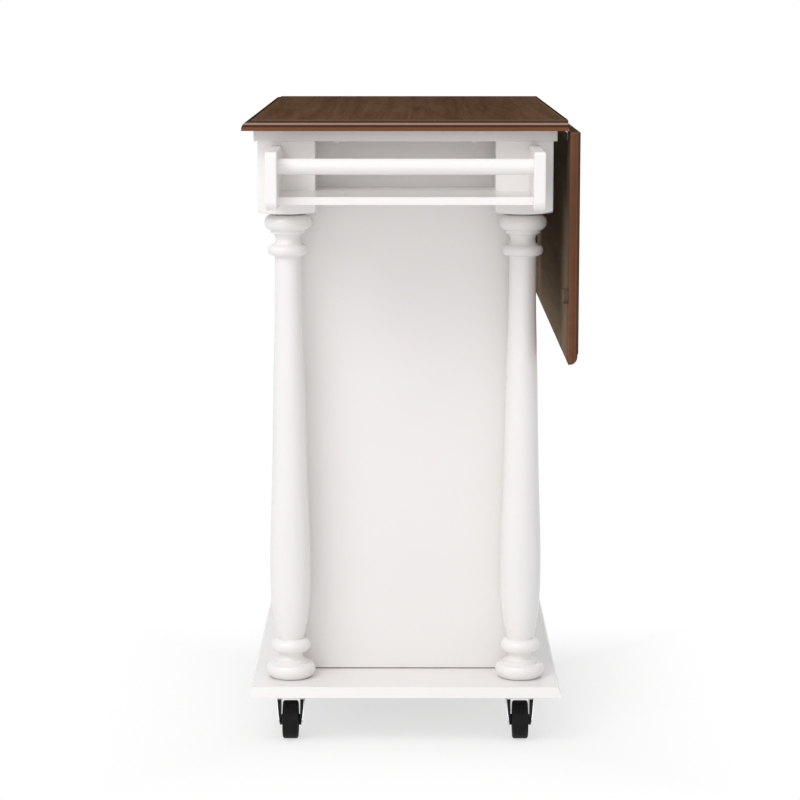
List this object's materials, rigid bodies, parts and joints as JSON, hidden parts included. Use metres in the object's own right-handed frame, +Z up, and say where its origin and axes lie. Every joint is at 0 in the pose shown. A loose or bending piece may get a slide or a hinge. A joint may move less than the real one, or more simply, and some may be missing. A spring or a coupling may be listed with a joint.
{
  "type": "kitchen island cart",
  "caption": "Rolling kitchen island cart on turned legs, with a moulded wood worktop, a drop leaf, drawers, door cabinets, an end rack with a rail and swivel casters.",
  "frame": {"origin": "on the floor, under the middle of the whole outline with the leaf hanging", "axes": "+Z up, +Y along the cart's length away from the rack, +X towards the drop leaf"},
  "size_m": [0.477, 1.044, 0.91],
  "materials": {
    "brown_wood": "satin brown stain over wood",
    "white_paint": "satin white paint over wood",
    "drawer_birch": "clear lacquer",
    "zinc_steel": "zinc plated",
    "satin_nickel": "satin nickel",
    "dark_steel": "satin black paint",
    "white_cap": "moulded, white",
    "chrome": "bright chrome plate",
    "black_tyre": "moulded, satin"
  },
  "bodies": {
    "cart": {"worktop": "brown_wood", "sub_top": "white_paint", "top_screws": "white_cap", "base_board": "white_paint", "leg_near_left": "white_paint", "leg_near_right": "white_paint", "leg_far_left": "white_paint", "leg_far_right": "white_paint", "end_panel_near": "white_paint", "end_panel_far": "white_paint", "centre_partition": "white_paint", "back_panel": "white_paint", "drawer_decks": "white_paint", "shelf_near": "white_paint", "shelf_far": "white_paint", "shelf_pins": "zinc_steel", "rack_cheek_left": "white_paint", "rack_cheek_right": "white_paint", "rack_rail": "white_paint", "rack_shelf": "white_paint", "leaf_hinge_top_plates": "satin_nickel", "leaf_hinge_pins": "satin_nickel", "prop_brackets": "dark_steel", "door_hinge_jamb_plates": "satin_nickel", "door_hinge_pins": "satin_nickel", "door_catches": "white_cap", "drawer_fixed_runners": "zinc_steel", "caster_plates": "chrome"},
    "leaf": {"drop_leaf": "brown_wood", "leaf_hinge_leaf_plates": "satin_nickel"},
    "prop_near": {"leaf_prop_near": "dark_steel"},
    "prop_far": {"leaf_prop_far": "dark_steel"},
    "drawer_near": {"drawer_near_front": "white_paint", "drawer_near_knob": "satin_nickel", "drawer_near_box": "drawer_birch", "drawer_near_bottom": "drawer_birch", "drawer_near_runners": "zinc_steel"},
    "drawer_far": {"drawer_far_front": "white_paint", "drawer_far_knob": "satin_nickel", "drawer_far_box": "drawer_birch", "drawer_far_bottom": "drawer_birch", "drawer_far_runners": "zinc_steel"},
    "door_near": {"door_near_frame": "white_paint", "door_near_panel": "white_paint", "door_near_knob": "satin_nickel", "door_near_hinge_plates": "satin_nickel"},
    "door_far": {"door_far_frame": "white_paint", "door_far_panel": "white_paint", "door_far_knob": "satin_nickel", "door_far_hinge_plates": "satin_nickel"},
    "caster_fork_near_left": {"caster_near_left_fork": "chrome"},
    "caster_wheel_near_left": {"caster_near_left_wheel": "black_tyre"},
    "caster_fork_near_right": {"caster_near_right_fork": "chrome"},
    "caster_wheel_near_right": {"caster_near_right_wheel": "black_tyre"},
    "caster_fork_far_left": {"caster_far_left_fork": "chrome"},
    "caster_wheel_far_left": {"caster_far_left_wheel": "black_tyre"},
    "caster_fork_far_right": {"caster_far_right_fork": "chrome"},
    "caster_wheel_far_right": {"caster_far_right_wheel": "black_tyre"}
  },
  "joints": [
    {"name": "leaf_fold", "type": "hinge", "parent": "cart", "child": "leaf", "pos_m": [0.2218, 0.065, 0.89335], "axis": [0, -1, 0], "range_deg": [0, 90]},
    {"name": "prop_near_swing", "type": "hinge", "parent": "cart", "child": "prop_near", "pos_m": [0.17805, -0.165, 0.77179], "axis": [0, -1, 0], "range_deg": [0, 135]},
    {"name": "prop_far_swing", "type": "hinge", "parent": "cart", "child": "prop_far", "pos_m": [0.17805, 0.295, 0.77179], "axis": [0, -1, 0], "range_deg": [0, 135]},
    {"name": "drawer_near_slide", "type": "slide", "parent": "cart", "child": "drawer_near", "axis": [-1, 0, 0], "range_m": [0, 0.26]},
    {"name": "drawer_far_slide", "type": "slide", "parent": "cart", "child": "drawer_far", "axis": [-1, 0, 0], "range_m": [0, 0.26]},
    {"name": "door_near_swing", "type": "hinge", "parent": "cart", "child": "door_near", "pos_m": [-0.19125, -0.259, 0.424], "axis": [0, 0, 1], "range_deg": [0, 100]},
    {"name": "door_far_swing", "type": "hinge", "parent": "cart", "child": "door_far", "pos_m": [-0.19125, 0.389, 0.424], "axis": [0, 0, -1], "range_deg": [0, 100]},
    {"name": "caster_near_left_swivel", "type": "hinge", "parent": "cart", "child": "caster_fork_near_left", "pos_m": [-0.17695, -0.316, 0.061], "axis": [0, 0, 1], "continuous": true},
    {"name": "caster_near_left_roll", "type": "hinge", "parent": "caster_fork_near_left", "child": "caster_wheel_near_left", "pos_m": [-0.17695, -0.336, 0.028], "axis": [1, 0, 0], "continuous": true},
    {"name": "caster_near_right_swivel", "type": "hinge", "parent": "cart", "child": "caster_fork_near_right", "pos_m": [0.16105, -0.316, 0.061], "axis": [0, 0, 1], "continuous": true},
    {"name": "caster_near_right_roll", "type": "hinge", "parent": "caster_fork_near_right", "child": "caster_wheel_near_right", "pos_m": [0.16105, -0.336, 0.028], "axis": [1, 0, 0], "continuous": true},
    {"name": "caster_far_left_swivel", "type": "hinge", "parent": "cart", "child": "caster_fork_far_left", "pos_m": [-0.17695, 0.446, 0.061], "axis": [0, 0, 1], "continuous": true},
    {"name": "caster_far_left_roll", "type": "hinge", "parent": "caster_fork_far_left", "child": "caster_wheel_far_left", "pos_m": [-0.17695, 0.426, 0.028], "axis": [1, 0, 0], "continuous": true},
    {"name": "caster_far_right_swivel", "type": "hinge", "parent": "cart", "child": "caster_fork_far_right", "pos_m": [0.16105, 0.446, 0.061], "axis": [0, 0, 1], "continuous": true},
    {"name": "caster_far_right_roll", "type": "hinge", "parent": "caster_fork_far_right", "child": "caster_wheel_far_right", "pos_m": [0.16105, 0.426, 0.028], "axis": [1, 0, 0], "continuous": true}
  ],
  "couplings": [
    {"joint": "prop_near_swing", "follows": "leaf_fold", "ratio": 1.5},
    {"joint": "prop_far_swing", "follows": "leaf_fold", "ratio": 1.5}
  ]
}
